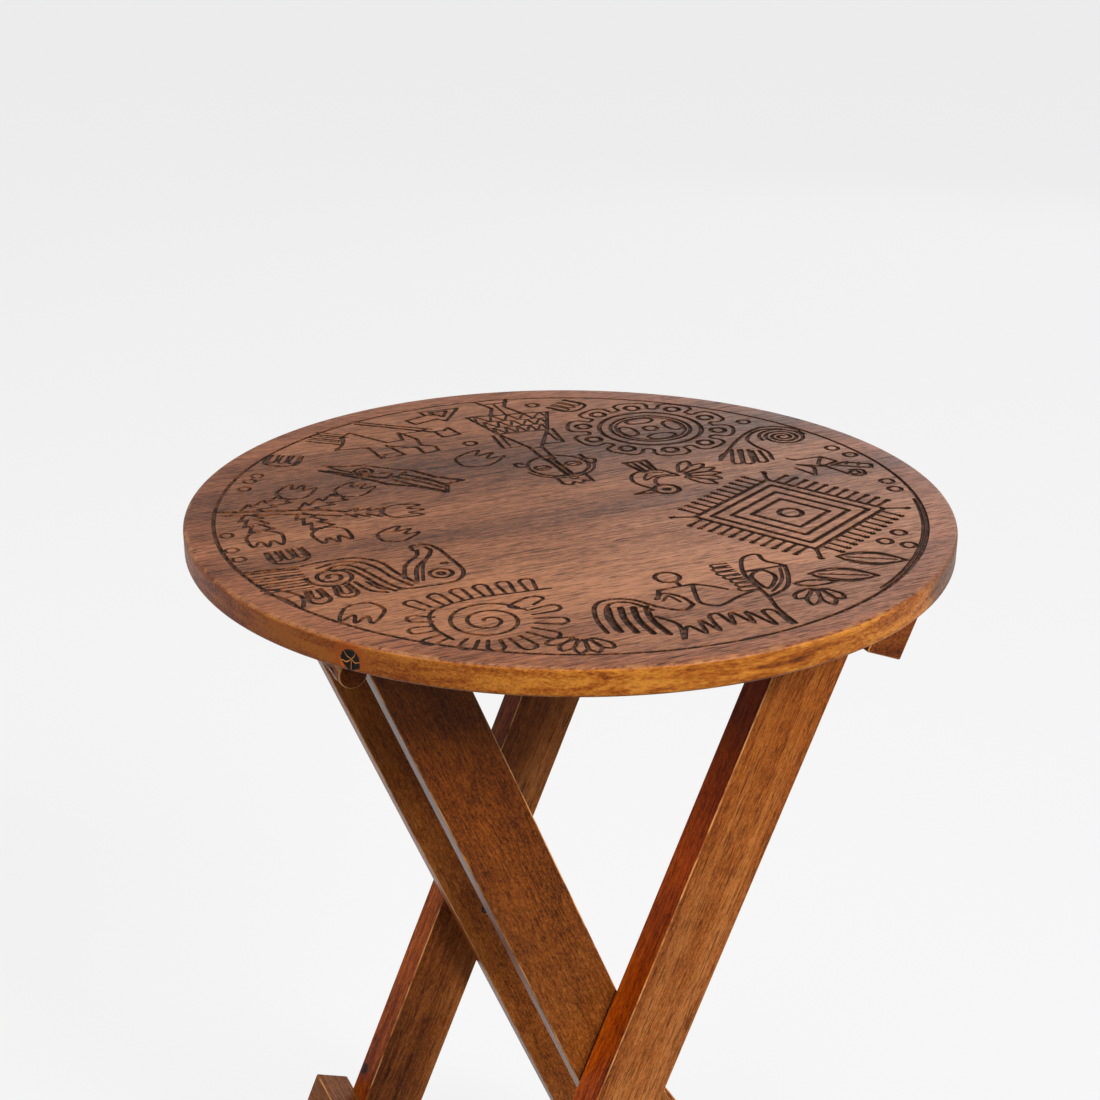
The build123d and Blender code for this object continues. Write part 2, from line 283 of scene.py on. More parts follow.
def wood_grain(g, along, across, through, seed, pith, streak=1.0, contrast=1.0):
    """Solid timber in a board's own axes: (tone 0 dark to 1 light, fibre, pores).

    along, across and through are the board's coordinates in metres. pith is where
    the tree's middle lies in (across, through), so the rings make arches on a flat
    face and arcs on the end grain. Rates are how often a pattern changes in a metre.
    """
    reach = ring_reach(g, along, across, through, seed, pith)
    ring_place = g.scaled(along, reach, seed, (0.9, 118.0, 1.0))
    band_place = g.scaled(along, reach, seed + 7.3, (1.6, 26.0, 1.0))
    rings = g.noise(ring_place, 1.0, 3.0, 0.62)
    bands = g.noise(band_place, 1.0, 2.0)
    streaks = g.noise(g.stretch(along, across, through, (15.0, 560.0), seed), 1.0, 3.0, 0.6)
    flecks = g.noise(g.stretch(along, across, through, (260.0, 1100.0), seed), 1.0, 2.0, 0.6)
    layers = ((rings, 1.5 * streak), (bands, 1.5), (streaks, 1.1 * streak), (flecks, 1.1))
    tone = 0.45
    for layer, weight in layers:
        tone = g.math("ADD", tone, g.about(layer, weight * contrast))
    lines = g.noise(g.stretch(along, across, through, (90.0, 2100.0), seed), 1.0, 1.0, 0.4)
    dashes = g.noise(g.stretch(along, across, through, (75.0, 900.0), seed + 3.0), 1.0, 1.0, 0.4)
    pores = g.math("MAXIMUM", g.span(lines, 0.54, 0.66, 0.0, 0.8), g.span(dashes, 0.62, 0.70))
    return tone, streaks, pores


def wood_colour(g, tone, pores, tones):
    dark, middle, light = tones
    colour = g.ramp(tone, ((0.02, dark), (0.45, middle), (0.95, light)))
    return g.mix(g.math("MULTIPLY", pores, 0.72), colour, tuple(c * 0.45 for c in dark))


# dark, middle and light of each timber
LEG_TONES = ((0.070, 0.015, 0.003), (0.270, 0.072, 0.011), (0.440, 0.158, 0.040))
INNER_TONES = ((0.048, 0.011, 0.002), (0.215, 0.056, 0.007), (0.355, 0.124, 0.026))
TOP_TONES = ((0.026, 0.011, 0.007), (0.140, 0.049, 0.020), (0.278, 0.111, 0.049))
RIM_TONES = ((0.080, 0.016, 0.001), (0.270, 0.066, 0.003), (0.480, 0.175, 0.020))


def board_frame(along, across):
    """A board's unit vectors along it, across it and through it."""
    along, across = Vector(along).normalized(), Vector(across).normalized()
    return along, across, along.cross(across)


def facing_axis(g, axis):
    """1 where the surface faces along axis either way, 0 where it lies along it."""
    return g.math("ABSOLUTE", g.vector("DOT_PRODUCT", g.facing(), tuple(axis)))


def worn_edge(g, axes):
    """1 on the rounded arrises of a board, 0 on its flat faces."""
    parts = [facing_axis(g, axis) for axis in axes]
    largest = g.math("MAXIMUM", g.math("MAXIMUM", parts[0], parts[1]), parts[2])
    return g.span(largest, 0.992, 0.86)


def pin_knot(g, colour, centre, size=3.9 * MM):
    """A small dead knot with a red stain round it."""
    away = g.vector("LENGTH", g.vector("SUBTRACT", g.place(), centre))
    ragged = g.math("SUBTRACT", g.noise(g.place(), 260.0, 2.0), 0.5)
    away = g.math("MULTIPLY_ADD", ragged, size * 1.6, away)
    stain = g.span(away, size * 3.4, size * 1.2, 0.0, 0.8)
    colour = g.mix(stain, colour, (0.20, 0.025, 0.002))
    return g.mix(g.span(away, size * 1.1, size * 0.7), colour, (0.010, 0.006, 0.005))


def board_tints(g, colour, axes, edge):
    """(colour, edge_on): tints for narrow faces (edge_on is 1 there) and ends, and painted shade
    high up under the top.
    """
    edge_on = g.span(facing_axis(g, axes[1]), 0.6, 0.95)
    colour = g.mix(edge_on, colour, edge, "MULTIPLY")
    end_on = g.span(facing_axis(g, axes[0]), 0.7, 0.95)
    colour = g.mix(end_on, colour, (0.62, 0.55, 0.50), "MULTIPLY")
    # painted shade: the legs darken towards their tops, where the tabletop shades them, and
    # darken more on the narrow faces there
    painted_shade_under_top = g.span(g.split(g.place())["Z"], 0.33, 0.50)
    colour = g.mix(painted_shade_under_top, colour, (0.90, 0.78, 0.50), "MULTIPLY")
    painted_shade_on_high_narrow_faces = g.math("MULTIPLY", painted_shade_under_top, edge_on)
    return g.mix(painted_shade_on_high_narrow_faces, colour, (0.75, 0.68, 0.60), "MULTIPLY"), edge_on


def board_material(
    name,
    along,
    across,
    seed,
    pith,
    tones=LEG_TONES,
    streak=1.0,
    oil=(0.06, 0.06),
    edge=(1, 1, 1),
    knot=None,
):
    """Oiled timber of one board, with its arrises worn lighter and perhaps a small knot.

    oil is how much of it there is on the board's wide faces and on its narrow ones.
    """
    g = Graph(name)
    axes = board_frame(along, across)
    u, v, w = [g.vector("DOT_PRODUCT", g.place(), tuple(axis)) for axis in axes]
    u = g.math("ADD", u, seed * 0.37)
    tone, fibre, pores = wood_grain(g, u, v, w, seed, pith, streak)
    mottle = g.noise(g.place(), 900.0, 3.0, 0.65)
    cloud = g.noise(g.place(), 42.0, 3.0, 0.55)
    for layer, weight in ((mottle, 1.1 - 0.5 * streak), (cloud, 0.6)):
        tone = g.math("ADD", tone, g.about(layer, weight))
    colour = wood_colour(g, tone, g.math("MULTIPLY", pores, 0.45 + 0.55 * streak), tones)
    patch = g.noise(g.scaled(u, v, w, (4.0, 18.0, 1.0)), 1.0, 2.0)
    colour = g.mix(g.span(patch, 0.45, 0.75, 0.0, 0.35), colour, tones[0])
    colour, edge_on = board_tints(g, colour, axes, edge)
    scuffs = g.noise(g.scaled(u, v, w, (60.0, 60.0, 60.0)), 1.0)
    wear = g.math("MULTIPLY", worn_edge(g, axes), g.span(scuffs, 0.38, 0.60, 0.12, 0.85))
    colour = g.mix(wear, colour, (0.74, 0.34, 0.11))
    if knot:
        colour = pin_knot(g, colour, knot)
    rough = g.math("ADD", g.span(fibre, 0.3, 0.7, 0.52, 0.40), g.math("MULTIPLY", pores, 0.2))
    height = g.math("SUBTRACT", g.math("MULTIPLY", fibre, 0.4), pores)
    g.oil(oil[0] if oil[0] == oil[1] else g.span(edge_on, 0.0, 1.0, *oil), 0.24)
    return g.finish(colour, rough, g.bump(height, 0.18 * MM, 0.8), specular=0.07)


def steel_material(name, tone, rough):
    """Steel with fine turning marks and tarnish."""
    g = Graph(name)
    place = g.place()
    patches = g.noise(place, 900.0, 3.0, 0.6)
    marks = g.noise(place, 4200.0, 2.0)
    light = tuple(min(1.0, c * 1.5) for c in tone)
    colour = g.mix(g.span(patches, 0.35, 0.65), tone, light)
    roughness = g.span(patches, 0.3, 0.7, rough + 0.15, rough - 0.05)
    return g.finish(colour, roughness, g.bump(marks, 0.03 * MM), metallic=0.9)


# ---- which board gets which timber ------------------------------------------------
def leg_way(side):
    """(along, across) of the inner or outer legs, as unit vectors in the row frame."""
    along = Vector((-sin(LEAN) * side, 0, cos(LEAN)))
    across = Vector((cos(LEAN), 0, sin(LEAN) * side))
    return along, across


def dress(node, material):
    mesh = frame["nodes"][node].data
    mesh.materials.clear()
    mesh.materials.append(material)


def leg_knot():
    """Where the small knot is, on the narrow face of the far outer leg."""
    along, across = leg_way(OUTER)
    below_pivot, half_width, from_middle = 141 * MM, 20 * MM, 112 * MM
    return PIVOT - below_pivot * along - half_width * across + Vector((0, from_middle, 0))


def dress_legs():
    # name, side, seed, pith, tint of the narrow faces, knot
    legs = (
        ("inner_leg_near", INNER, 1.3, (0.05, 0.02), (1.05, 0.95, 0.85), None),
        ("inner_leg_far", INNER, 4.1, (-0.06, 0.03), (1.05, 0.95, 0.85), None),
        ("outer_leg_near", OUTER, 7.7, (0.07, -0.04), (1.70, 0.88, 0.02), None),
        ("outer_leg_far", OUTER, 9.2, (-0.04, 0.06), (1.45, 0.95, 0.30), leg_knot()),
    )
    # tones, how streaky, oil on the wide and narrow faces
    timber = {
        INNER: (INNER_TONES, 0.30, (0.05, 0.27)),
        OUTER: (LEG_TONES, 0.75, (0.04, 0.0)),
    }
    for name, side, seed, pith, edge, knot in legs:
        material = board_material(name, *leg_way(side), seed, pith, *timber[side], edge, knot)
        dress(name, material)


def dress_rails():
    """The rails' grain runs along Y, and their width runs along the legs."""
    for name, side, seed in (
        ("inner_lower_rail", INNER, 2.2),
        ("outer_lower_rail", OUTER, 5.6),
        ("outer_upper_rail", OUTER, 8.8),
    ):
        leg_along = leg_way(side)[0]
        dress(name, board_material(name, (0, 1, 0), leg_along, seed, (0.03, 0.05)))


def dress_fittings():
    """The rod, cleat, hinge blocks and plugs, whose grain all runs along Y."""
    for name, seed, pith, oil in (
        ("hinge_rod", 3.3, (0.02, 0.02), 0.0),
        ("stop_cleat", 6.1, (0.03, 0.02), 0.06),
        ("hinge_block_near", 2.9, (0.03, 0.03), 0.06),
        ("hinge_block_far", 4.7, (0.03, 0.03), 0.06),
        ("inner_lower_rail_plugs", 1.9, (0.01, 0.01), 0.06),
        ("outer_lower_rail_plugs", 3.7, (0.01, 0.01), 0.06),
        ("outer_upper_rail_plugs", 5.3, (0.01, 0.01), 0.06),
    ):
        dress(name, board_material(name, (0, 1, 0), (1, 0, 0), seed, pith, oil=(oil, oil)))


def dress_steel():
    """Every screw and washer: blackened at the pivots, bronzed elsewhere."""
    bronzed = steel_material("bronzed_screw", (0.11, 0.085, 0.06), 0.42)
    black = steel_material("blackened_screw", (0.035, 0.033, 0.032), 0.45)
    for name in frame["nodes"]:
        if name.endswith("screws") or name.endswith("washers"):
            dress(name, black if name.startswith("pivot") else bronzed)


# ---- the carving's strokes, in millimetres from the middle of the top -------------
FINE, THIN, LINE, BROAD, PEG = 2.0, 2.25, 2.55, 3.1, 4.2
strokes = []


def cut(points, width=LINE, closed=False):
    """A groove of straight runs."""
    points = list(points)
    if closed:
        points.append(points[0])
    strokes.append((np.array(points, float), width))


def sweep(points, width=LINE, closed=False):
    """A smooth groove through a few points (a Catmull-Rom curve)."""
    p = np.array(points, float)
    if closed:
        p = np.vstack((p[-1], p, p[:2]))
    else:
        p = np.vstack((2 * p[0] - p[1], p, 2 * p[-1] - p[-2]))
    t = np.linspace(0, 1, 9)[:-1, None]
    runs = []
    for a, b, c, d in zip(p, p[1:], p[2:], p[3:]):
        run = 2 * b + (c - a) * t
        run = run + (2 * a - 5 * b + 4 * c - d) * t**2
        run = run + (3 * b - a - 3 * c + d) * t**3
        runs.append(0.5 * run)
    runs.append(p[-2:-1])
    cut(np.vstack(runs), width)


def turned(points, x, y, degrees, size=1.0):
    """Points of a motif drawn upright at the origin, turned and moved to (x, y)."""
    c, s = cos(radians(degrees)) * size, sin(radians(degrees)) * size
    return [(x + px * c - py * s, y + px * s + py * c) for px, py in points]


def arc(x, y, r, start=0, end=360, width=LINE, squash=1.0, turn=0):
    steps = max(10, int(abs(end - start) / 360 * 2 * pi * r / 0.9))
    angles = np.radians(np.linspace(start, end, steps + 1))
    points = [(r * cos(a), r * squash * sin(a)) for a in angles]
    cut(turned(points, x, y, turn), width)


def spiral(x, y, inner, outer, start, turns, width=LINE):
    steps = int(abs(turns) * 40)
    angles = [radians(start) + 2 * pi * turns * i / steps for i in range(steps + 1)]
    radii = [inner + (outer - inner) * i / steps for i in range(steps + 1)]
    cut([(x + r * cos(a), y + r * sin(a)) for r, a in zip(radii, angles)], width)


def loop(x, y, turn, length, wide, width=LINE):
    """A finger: an open U that starts at (x, y) and points to turn degrees from +X."""
    half = wide / 2
    round_end = np.linspace(-pi / 2, pi / 2, 9)
    bow = [(length - half + half * cos(a), half * sin(a)) for a in round_end]
    cut(turned([(0, -half * 0.7)] + bow + [(0, half * 0.7)], x, y, turn), width)


def petal(x, y, turn, length, wide, width=LINE, gap=0.0):
    """A closed petal pointing to turn degrees from +X, its foot gap from (x, y)."""
    half = wide / 2
    (x, y), length = turned([(gap, 0)], x, y, turn)[0], length - gap
    outline = [(0, 0), (length * 0.3, half * 0.7), (length * 0.7, half), (length, 0)]
    outline += [(length * 0.7, -half), (length * 0.3, -half * 0.7)]
    sweep(turned(outline, x, y, turn), width, closed=True)


def leaf(x, y, turn, length, wide, veins):
    """A pointed leaf from (x, y). A vein bows out by its own share of the leaf's width."""
    outline = ((0, 0), (0.25, 0.42), (0.62, 0.5), (1, 0))
    middle = ((0.14, 0.2), (0.5, 0.4), (0.84, 0.2))
    for side in (-1, 1):
        sweep(turned([(length * a, side * wide * b) for a, b in outline], x, y, turn))
    for vein in veins:
        sweep(turned([(length * a, vein * wide * b) for a, b in middle], x, y, turn), FINE)


def tulip(x, y, turn, size=1.0):
    """A flower of three points on a round cup."""
    outline = [(0, 0), (5, -8), (13, -9), (21, -7), (14, -3)]
    outline += [(22, 0), (14, 3), (21, 7), (13, 9), (5, 8)]
    sweep(turned(outline, x, y, turn, size), THIN, closed=True)


def twig(x0, y0, x1, y1, teeth, reach=6.5):
    """A stem whose two sides are rows of small pointed leaves."""
    length, turn = hypot(x1 - x0, y1 - y0), np.degrees(atan2(y1 - y0, x1 - x0))
    step = length / teeth
    for side in (-1, 1):
        row = [(0, side * 1.6)]
        for i in range(teeth):
            row += [((i + 0.85) * step, side * reach), ((i + 0.75) * step, side * 1.8)]
        cut(turned(row + [(length, side * 1.6)], x0, y0, turn), THIN)


def hand(x, y, turn, size=1.0):
    """A small hand of four fingers."""
    outline = [(-9, 9), (-9.5, -3), (-5, -8), (5, -8), (9.5, -3), (9, 9)]
    sweep(turned(outline, x, y, turn, size))
    for finger in (-6, 0, 6):
        gap = [(finger - 1.8, 9), (finger - 1.8, -2.5), (finger + 1.8, -2.5), (finger + 1.8, 9)]
        sweep(turned(gap, x, y, turn, size), FINE)


def carve_border():
    """The ring round the figures, doubled at the near right, and small rings beside it."""
    arc(-0.7, -1.6, 184.4, width=2.3)
    arc(-0.7, -1.6, 182.2, -62, -22, FINE)
    for x, y in ((51, 161), (152, 80), (174, 18), (177, 4), (171, -41), (168, -53)):
        arc(x, y, 3.6)
    for x, y in ((133, -107), (120, -114), (128, -123), (-11, 110)):
        arc(x, y, 3.6)
    for x, y in ((-138, 107), (-144, 100), (-150, 90), (-177, 28), (-180, 8), (-180, -5)):
        arc(x, y, 3.2, width=FINE)


def carve_fringed_square():
    """Four nested squares round a ring, with a fringe of pegs on every side."""
    x, y, tilt, half = 98, -60.5, 27.8, 35.5
    for size in (half, 29.5, 22, 14.5):
        corners = [(-size, -size), (size, -size), (size, size), (-size, size)]
        cut(turned(corners, x, y, tilt), BROAD, closed=True)
    arc(x, y, 6, width=BROAD)
    for side in range(4):
        turn = tilt + 90 * side
        for i in range(11):
            across = (i - 5) * 6.2
            cut(turned([(half, across), (half + 11.5, across)], x, y, turn), LINE)
            cut(turned([(half + 10.3, across), (half + 12, across)], x, y, turn), PEG)
        cut(turned([(half, half), (half + 9, half + 8)], x, y, turn), LINE)
        cut(turned([(half + 8, half + 7), (half + 9.2, half + 8.2)], x, y, turn), PEG)


def carve_rosette():
    """Rings round four petals, inside a lobed edge with a ring in each lobe."""
    x, y, lobes = 96, 92, 10
    for r, width in ((30, BROAD), (23.5, LINE), (20.5, FINE)):
        arc(x, y, r, width=width)
    arc(x, y, 4.2)
    for i in range(4):
        cx, cy = turned([(14.5, 0)], x, y, 90 * i)[0]
        arc(cx, cy, 8.5, squash=0.55, turn=90 * i + 90)
    # one lobe of the edge: radius, and degrees from the lobe's middle
    lobe = ((37, -17), (38.5, -13.5), (45, -13), (48.5, -7))
    lobe += ((48.5, 7), (45, 13), (38.5, 13.5), (37, 17))
    edge = []
    for i in range(lobes):
        middle = 7 + 360 / lobes * i
        cx, cy = turned([(39.5, 0)], x, y, middle)[0]
        arc(cx, cy, 4.2, width=BROAD)
        for r, off in lobe:
            edge += turned([(r, 0)], x, y, middle + off)
    sweep(edge, closed=True)


def carve_shell():
    """A spiral shell whose arm ends in a row of fingers."""
    spiral(159, 47, 1.5, 14, 40, 3.4)
    sweep([(173, 46), (172, 57), (164, 65), (153, 66), (140, 59), (124, 45), (105, 25)])
    sweep([(165, 60), (155, 63), (145, 59), (137, 50), (136, 38), (137, 27), (133, 15)])
    for x, y, turn, length in ((122, 38, 244, 24), (127, 36, 246, 24), (132, 32, 252, 20)):
        loop(x, y, turn, length, 5.5)
    sweep([(105, 25), (110, 33), (118, 37)], FINE)


def carve_beetle():
    cut([(141, 13), (144, 9), (160, 8), (152, -2), (157, -17)])
    cut([(137, -3), (141, -17), (147, -6), (141, 2), (155, -8)])
    cut([(160, 8), (164, -2), (152, -6)])
    snout = [(158, -7), (166, -5), (172, -9), (179, -14), (176, -19), (169, -15), (163, -10)]
    cut(snout, closed=True)
    sweep([(157, -17), (160, -26), (166, -27), (169, -20), (163, -17)])
    arc(163, -22, 2.6)
    for x, y in ((166, -9), (171, -13)):
        cut([(x, y), (x + 3, y + 4)], FINE)


def carve_bird():
    cut([(54, 44), (67, 43), (65, 27), (57, 26)], BROAD, closed=True)
    for x in (58.5, 62.5):
        cut([(x, 43), (x + 0.5, 28)])
    sweep([(72, 15), (67, 25), (58, 28), (49, 24), (45, 14), (48, 4), (51, 0)])
    sweep([(72, 13), (62, 16), (56, 10), (55, 3)])
    sweep([(66, 21), (58, 23), (52, 14), (61, 18), (70, 17)], FINE)
    arc(56, -3, 6.8, width=BROAD)
    arc(56, -3, 1.4, width=BROAD)
    cut([(50, 0), (37, -3), (50, -6)])
    for turn in (50, 27, 6, -14, -36, -58):
        petal(72, 14, turn, 24, 6.2, gap=5)


def carve_netted_figure():
    """A netted basket under a goblet, on a stem that ends in a round medallion."""
    left, right = np.array(((5, 155), (10, 119))), np.array(((54, 146), (40, 115)))
    cut([left[0], right[0], right[1], left[1]], closed=True)
    rows = 3
    for row in range(rows):
        a, b = [left[0] + (left[1] - left[0]) * (row + k) / rows for k in (0, 1)]
        c, d = [right[0] + (right[1] - right[0]) * (row + k) / rows for k in (0, 1)]
        if row:
            cut([a, c], FINE)
        teeth = [(a + (c - a) * i / 10) if i % 2 else (b + (d - b) * i / 10) for i in range(11)]
        cut(teeth, FINE)
    cut([(21, 181), (26, 165), (20, 153)])
    cut([(41, 179), (34, 165), (39, 149)])
    cut([(22, 174), (39, 173)])
    cut([(30, 173), (29, 152)], FINE)
    cut([(10, 119), (17, 90), (16, 66)])
    cut([(40, 115), (24, 88), (22, 66)])
    cut([(17, 88), (24, 87)])
    cut([(6, 117), (3, 94), (14, 94)])
    cut([(10, 115), (8, 97)], FINE)
    cut([(43, 115), (39, 91), (28, 92)])
    cut([(38, 113), (37, 95)], FINE)
    arc(19, 55, 17)
    arc(19, 55, 20, 190, 350, FINE)
    for x in (9.5, 28):
        arc(x, 55, 4.2, squash=0.85)
        cut([(x - 2, 55), (x + 2, 55)])
    for x in (17.3, 20.6):
        cut([(x, 68), (x, 41)], BROAD)
    sweep([(2, 60), (-3, 62), (-1, 68), (2, 65)])
    sweep([(36, 60), (42, 57), (39, 51), (36, 54)])
    cut([(38, 60), (38, 67)])
    tassel = [(10, 40), (9, 27), (13, 24), (16, 28), (19, 24), (22, 28), (26, 25), (27, 40)]
    cut(tassel, closed=True)
    arc(18.5, 34, 2)


def carve_flying_bird():
    wings = [(-30, 164), (-16, 168), (-17, 177), (7, 174), (-8, 154), (-12, 160), (-27, 155)]
    cut(wings, closed=True)
    cut([(-12, 173), (-1, 172), (-7, 162)], closed=True)
    cut([(-14, 169), (-8, 166)])


def carve_axe():
    cut([(-59, 170), (-24, 139)], BROAD)
    cut([(-56, 172), (-22, 143)])
    cut([(-21, 127), (-10, 128), (-12, 142), (-16, 138), (-22, 139)], closed=True)


def carve_deer():
    body = [(-85, 130), (-67, 127), (-66, 106), (-52, 107), (-56, 126), (-46, 118), (-41, 116)]
    body += [(-41, 105), (-32, 106), (-31, 114), (-38, 119), (-36, 130), (-42, 145), (-44, 132)]
    body += [(-54, 131), (-62, 145), (-68, 156), (-74, 151), (-76, 143), (-79, 137)]
    cut(body, closed=True)
    cut([(-66, 106), (-62, 112), (-52, 112)], FINE)
    for dx, dy in ((0, 0), (4, 5), (8, 10)):
        cut([(-95 + dx, 152 + dy), (-80 + dx, 139 + dy)])
        cut([(-93 + dx, 155 + dy), (-79 + dx, 143 + dy)], FINE)
    cut([(-40, 143), (-30, 142), (-24, 145)])


def carve_fish():
    sweep([(-100, 108), (-92, 103), (-80, 99), (-66, 87), (-58, 81)])
    sweep([(-104, 101), (-94, 88), (-84, 76), (-77, 65)], BROAD)
    sweep([(-100, 99), (-90, 88), (-80, 78), (-74, 74)])
    sweep([(-99, 107), (-95, 99), (-88, 90), (-80, 80), (-72, 74)])
    arc(-83, 90, 5)
    arc(-83, 90, 1.5)
    cut([(-75, 84), (-70, 81), (-73, 76), (-66, 76), (-62, 80)])
    for step in (0, 4, 8):
        stripe = [(-73 + step, 71 + step * 0.8), (-62 + step, 55 + step)]
        sweep(stripe + [(-54 + step * 0.4, 45 + step)])
    cut([(-58, 81), (-50, 66), (-38, 55), (-48, 53), (-53, 41), (-66, 57), (-78, 66)], BROAD)
    cut([(-48, 53), (-60, 68)], FINE)


def carve_plant():
    """A stem across the left of the top, with twigs that end in tulips."""
    sweep([(-174, 62), (-158, 56), (-140, 50), (-124, 44), (-112, 36)], BROAD)
    sweep([(-171, 55), (-156, 50), (-140, 44), (-128, 38), (-116, 31)])
    twig(-160, 58, -134, 66, 3)
    tulip(-134, 66, 48)
    twig(-132, 48, -106, 58, 3)
    tulip(-106, 58, 38)
    twig(-112, 34, -94, 27, 3)
    tulip(-95, 27, -12)
    twig(-160, 51, -159, 26, 3)
    tulip(-159, 27, -98)
    twig(-134, 42, -129, 18, 3)
    tulip(-129, 19, -88)


def carve_tulips():
    for x, y, turn, size in ((-29, 76, 32, 1.25), (-108, -10, 28, 0.95), (-140, -80, 235, 1.04)):
        tulip(x, y, turn, size)


def carve_serpent():
    """A long-bodied animal with a round eye, a coiled wing and looped feet."""
    head = [(-99, -29), (-98, -23), (-91, -23), (-87, -31), (-86, -46)]
    sweep(head + [(-86, -62), (-93, -72), (-108, -73), (-122, -71)])
    sweep([(-111, -66), (-105, -50), (-96, -40), (-91, -32), (-92, -27)])
    sweep([(-108, -66), (-101, -48), (-93, -37)], FINE)
    sweep([(-115, -60), (-109, -45), (-100, -36), (-97, -29)])
    arc(-97, -61, 5.5)
    arc(-97, -61, 1.6)
    arc(-91, -50, 1.2)
    back = [(-182, -22), (-160, -25), (-142, -24), (-128, -26)]
    sweep(back + [(-119, -36), (-116, -52), (-112, -66)])
    sweep([(-149, -31), (-139, -28), (-129, -31), (-123, -41), (-120, -56), (-115, -69)])
    sweep([(-145, -34), (-137, -32), (-131, -38), (-127, -52), (-123, -66), (-119, -71)])
    sweep([(-143, -38), (-136, -38), (-132, -49), (-129, -62), (-124, -72)])
    spiral(-146, -44, 1.5, 12, 200, -2.1)
    for i in range(8):
        cut([(-181, -25 - 3.6 * i), (-158, -28 - 3.4 * i)], FINE if i % 2 else LINE)
    sweep([(-178, -46), (-170, -53), (-166, -62), (-169, -72)])
    for x, length in ((-159, 17), (-145, 15)):
        loop(x, -55, 268, length, 10)
        loop(x, -56, 268, 10, 4.4, FINE)
    sweep([(-138, -54), (-135, -66), (-128, -72)])
    sweep([(-133, -56), (-130, -66), (-125, -70)], FINE)
    sweep([(-179, -52), (-174, -60), (-171, -72)])


def carve_sun():
    """A spiral sun: a ring of fingers round it and a comb above."""
    x, y = -98, -121
    spiral(x, y, 2, 20, 150, -2.35, THIN)
    sweep([(-78, -116), (-83, -110), (-70, -104), (-65, -108), (-72, -113)], THIN)
    comb_foot = [(-120, -133), (-123, -118), (-119, -103), (-108, -97)]
    sweep(comb_foot + [(-92, -95), (-74, -97), (-57, -99)], THIN)
    for turn in (2, -24, -52, -80, -106, -132):
        cx, cy = turned([(21, 0)], x, y, turn)[0]
        loop(cx, cy, turn, 15 if turn > -90 else 11, 7.5, THIN)
    for turn in (152, 174, 197):
        cx, cy = turned([(25, 0)], x, y, turn)[0]
        loop(cx, cy, turn, 12, 7, THIN)
    for i, turn in enumerate((118, 104, 98, 90, 86, 82)):
        loop(-118 + 10.5 * i, -97 + 3.2 * sin(i * 0.6), turn, 13, 6.5, THIN)


def carve_fans():
    """Two half flowers at the near edge."""
    for turn in (188, 216, 242, 267, 291):
        petal(-66, -152, turn, 19, 6, THIN, gap=5)
    for turn, length in ((212, 19), (236, 23), (260, 23), (282, 19)):
        petal(58, -147, turn, length, 6.2, gap=5)
    petal(70, -147, 166, 20, 6.5)


def carve_rider():
    """A striped animal with a small rider."""
    back = [(-55, -155), (-53, -140), (-47, -126), (-38, -122)]
    sweep(back + [(-28, -127), (-21, -139), (-12, -147), (-5, -143)])
    sweep([(-50, -154), (-47, -138), (-40, -127), (-31, -129), (-25, -141)])
    for i in range(4):
        top = (-43 + 5.6 * i, -131 - 1.8 * i)
        foot = (-49 + 6.2 * i, -156 - 3.8 * i)
        sweep([top, (top[0] - 4, -143 - 2.4 * i), foot], 3.6)
    sweep([(-18, -131), (-12, -126), (-6, -133), (-5, -143)])
    sweep([(-16, -134), (-11, -130), (-9, -138)], FINE)
    feet = [(-27, -148), (-22, -160), (-27, -175), (-19, -163), (-15, -173), (-11, -160)]
    feet += [(-8, -173), (-5, -158), (0, -157), (1, -170), (6, -158), (10, -172)]
    sweep(feet + [(13, -160), (18, -178), (20, -163), (25, -164), (25, -180)])
    neck = [(27, -180), (28, -163), (31, -150), (33, -132), (35, -120)]
    sweep(neck + [(42, -106), (48, -102), (53, -103), (52, -111), (58, -120)])
    cut([(35, -119), (58, -120)])
    sweep([(58, -120), (52, -133), (44, -144), (31, -150)])
    sweep([(54, -122), (48, -134), (40, -142), (36, -145)], FINE)
    petal(36, -141, 68, 22, 11)
    for i in range(7):
        loop(33 - 0.4 * i, -108 - 5 * i, 172, 8.5 + 1.5 * sin(i), 4, FINE)
    sweep([(31, -140), (18, -144), (6, -149), (-1, -143), (2, -132), (6, -122)])
    sweep([(6, -122), (12, -127), (18, -134)])
    arc(-1, -110, 6)
    cut([(0, -116), (0, -122), (-12, -122)])
    cut([(0, -122), (6, -122)])
    cut([(-12, -122), (-17, -131)])


def carve_leaves():
    leaf(87, -121, -32, 34, 15, (-1, 0, 1))
    leaf(63, -134, -28, 33, 15, (-1, 0, 1))


def carve_hands():
    hand(-118, 125, -32)
    hand(70, 150, 32, 1.05)
    hand(-157, -11, 0)


MOTIFS = (
    carve_border,
    carve_fringed_square,
    carve_rosette,
    carve_shell,
    carve_beetle,
    carve_bird,
    carve_netted_figure,
    carve_flying_bird,
    carve_axe,
    carve_deer,
    carve_fish,
    carve_plant,
    carve_tulips,
    carve_serpent,
    carve_sun,
    carve_fans,
    carve_rider,
    carve_leaves,
    carve_hands,
)


# ---- the carved top, in millimetres -----------------------------------------------
OUTER_RADIUS = RADIUS / MM
ROUND = 2.0                  # radius of the rim's upper and lower rounds
FLOOR = 0.62                 # where a groove's flat floor ends, in half widths
DEPTH = 0.85                 # a groove's depth, in half widths
KNOT_TURN = 215.7            # the rim's knot, in degrees from +X
KNOT_BELOW, KNOT_SIZE = 9.0, 5.6


